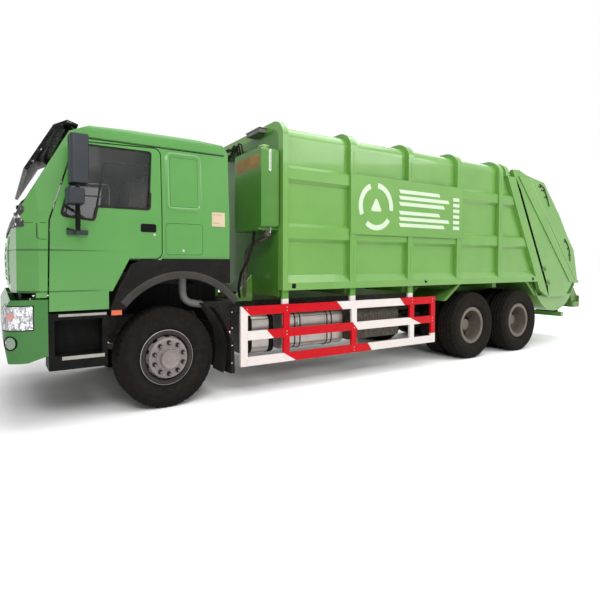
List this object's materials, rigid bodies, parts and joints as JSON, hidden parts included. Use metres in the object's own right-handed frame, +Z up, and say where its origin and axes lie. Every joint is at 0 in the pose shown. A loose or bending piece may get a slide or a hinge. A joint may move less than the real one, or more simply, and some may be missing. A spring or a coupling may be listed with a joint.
{
  "type": "three-axle rear-loading garbage truck",
  "caption": "Rear-loading refuse truck with a tilting cab, ribbed body, ejector, lifting tailgate, sliding packer with sweep blade, bin lifter and steered front wheels.",
  "frame": {"origin": "on the ground under the middle of the truck's bounding box", "axes": "+X forward, +Y to the truck's left, +Z up"},
  "size_m": [10.51, 3.02, 3.342],
  "materials": {
    "wheel": "matt rubber",
    "chassis_metal": "satin",
    "body_paint": "gloss",
    "cab_paint": "gloss",
    "tank_metal": "satin",
    "guard_paint": "gloss",
    "black_plastic": "matt",
    "glass": "clear",
    "interior_trim": "matt",
    "mirror_plastic": "satin",
    "packer_paint": "satin",
    "rod_chrome": "polished"
  },
  "bodies": {
    "chassis": {"chassis_frame": "chassis_metal", "front_axle": "chassis_metal", "rear_axles": "chassis_metal", "driveline": "chassis_metal", "bumper": "cab_paint", "cab_steps": "black_plastic", "mudguards": "body_paint", "fuel_tank": "tank_metal", "air_tank": "tank_metal", "silencer": "chassis_metal", "battery_box": "chassis_metal", "side_guards": "guard_paint", "body_floor": "body_paint", "body_side_left": "body_paint", "body_side_right": "body_paint", "body_roof": "body_paint", "body_front_wall": "body_paint", "oil_tank": "body_paint"},
    "cab": {"cab_shell": "cab_paint", "cab_roof": "cab_paint", "cab_front": "cab_paint", "cab_arches": "black_plastic", "windscreen": "glass", "sun_visor": "black_plastic", "cab_interior": "interior_trim"},
    "left_door": {"door_left": "cab_paint", "door_glass_left": "glass", "mirror_left": "mirror_plastic"},
    "right_door": {"door_right": "cab_paint", "door_glass_right": "glass", "mirror_right": "mirror_plastic"},
    "left_knuckle": {"knuckle_left": "chassis_metal"},
    "right_knuckle": {"knuckle_right": "chassis_metal"},
    "left_front_wheel": {"front_wheel_left": "wheel"},
    "right_front_wheel": {"front_wheel_right": "wheel"},
    "left_middle_wheels": {"middle_wheels_left": "wheel"},
    "right_middle_wheels": {"middle_wheels_right": "wheel"},
    "left_rear_wheels": {"rear_wheels_left": "wheel"},
    "right_rear_wheels": {"rear_wheels_right": "wheel"},
    "ejector_plate": {"ejector": "body_paint"},
    "tail": {"tailgate": "body_paint"},
    "carriage": {"packer_carriage": "packer_paint"},
    "blade": {"sweep_blade": "packer_paint"},
    "barrels": {"ram_barrels": "packer_paint"},
    "rods": {"ram_rods": "rod_chrome"},
    "lifter": {"bin_lifter": "body_paint"}
  },
  "joints": [
    {"name": "cab_tilt", "type": "hinge", "parent": "chassis", "child": "cab", "pos_m": [5.095, 0, 0.975], "axis": [0, 1, 0], "range_deg": [0, 50]},
    {"name": "left_door_hinge", "type": "hinge", "parent": "cab", "child": "left_door", "pos_m": [4.858, 1.225, 1.63], "axis": [0, 0, -1], "range_deg": [0, 70]},
    {"name": "right_door_hinge", "type": "hinge", "parent": "cab", "child": "right_door", "pos_m": [4.858, -1.225, 1.63], "axis": [0, 0, 1], "range_deg": [0, 70]},
    {"name": "left_steering", "type": "hinge", "parent": "chassis", "child": "left_knuckle", "pos_m": [3.695, 0.842, 0.542], "axis": [0, 0, 1], "range_deg": [-35, 35]},
    {"name": "right_steering", "type": "hinge", "parent": "chassis", "child": "right_knuckle", "pos_m": [3.695, -0.842, 0.542], "axis": [0, 0, 1], "range_deg": [-35, 35]},
    {"name": "left_front_wheel_spin", "type": "hinge", "parent": "left_knuckle", "child": "left_front_wheel", "pos_m": [3.695, 1.011, 0.542], "axis": [0, 1, 0], "continuous": true},
    {"name": "right_front_wheel_spin", "type": "hinge", "parent": "right_knuckle", "child": "right_front_wheel", "pos_m": [3.695, -1.011, 0.542], "axis": [0, 1, 0], "continuous": true},
    {"name": "left_middle_wheels_spin", "type": "hinge", "parent": "chassis", "child": "left_middle_wheels", "pos_m": [-1.53, 0.915, 0.542], "axis": [0, 1, 0], "continuous": true},
    {"name": "right_middle_wheels_spin", "type": "hinge", "parent": "chassis", "child": "right_middle_wheels", "pos_m": [-1.53, -0.915, 0.542], "axis": [0, 1, 0], "continuous": true},
    {"name": "left_rear_wheels_spin", "type": "hinge", "parent": "chassis", "child": "left_rear_wheels", "pos_m": [-2.88, 0.915, 0.542], "axis": [0, 1, 0], "continuous": true},
    {"name": "right_rear_wheels_spin", "type": "hinge", "parent": "chassis", "child": "right_rear_wheels", "pos_m": [-2.88, -0.915, 0.542], "axis": [0, 1, 0], "continuous": true},
    {"name": "ejector_slide", "type": "slide", "parent": "chassis", "child": "ejector_plate", "axis": [-1, 0, 0], "range_m": [0, 4.2]},
    {"name": "tailgate_lift", "type": "hinge", "parent": "chassis", "child": "tail", "pos_m": [-2.51, 0, 3.3], "axis": [0, 1, 0], "range_deg": [0, 80]},
    {"name": "carriage_slide", "type": "slide", "parent": "tail", "child": "carriage", "axis": [-0.6691, 0, -0.7431], "range_m": [0, 0.85]},
    {"name": "blade_sweep", "type": "hinge", "parent": "carriage", "child": "blade", "pos_m": [-3.5643, 0, 2.0803], "axis": [0, 1, 0], "range_deg": [0, 100]},
    {"name": "barrel_swing", "type": "hinge", "parent": "carriage", "child": "barrels", "pos_m": [-3.1512, 0, 2.8036], "axis": [0, 1, 0], "range_deg": [-0.3, 1.53]},
    {"name": "rod_slide", "type": "slide", "parent": "barrels", "child": "rods", "axis": [-0.6659, 0, -0.7461], "range_m": [-0.4307, 0.002]},
    {"name": "lifter_tip", "type": "hinge", "parent": "tail", "child": "lifter", "pos_m": [-4.995, 0, 1.13], "axis": [0, 1, 0], "range_deg": [0, 120]}
  ],
  "couplings": [
    {"joint": "right_steering", "follows": "left_steering", "ratio": 1},
    {"joint": "barrel_swing", "follows": "blade_sweep", "ratio": 0.012334},
    {"joint": "rod_slide", "follows": "blade_sweep", "m_per_rad": -0.24564}
  ]
}
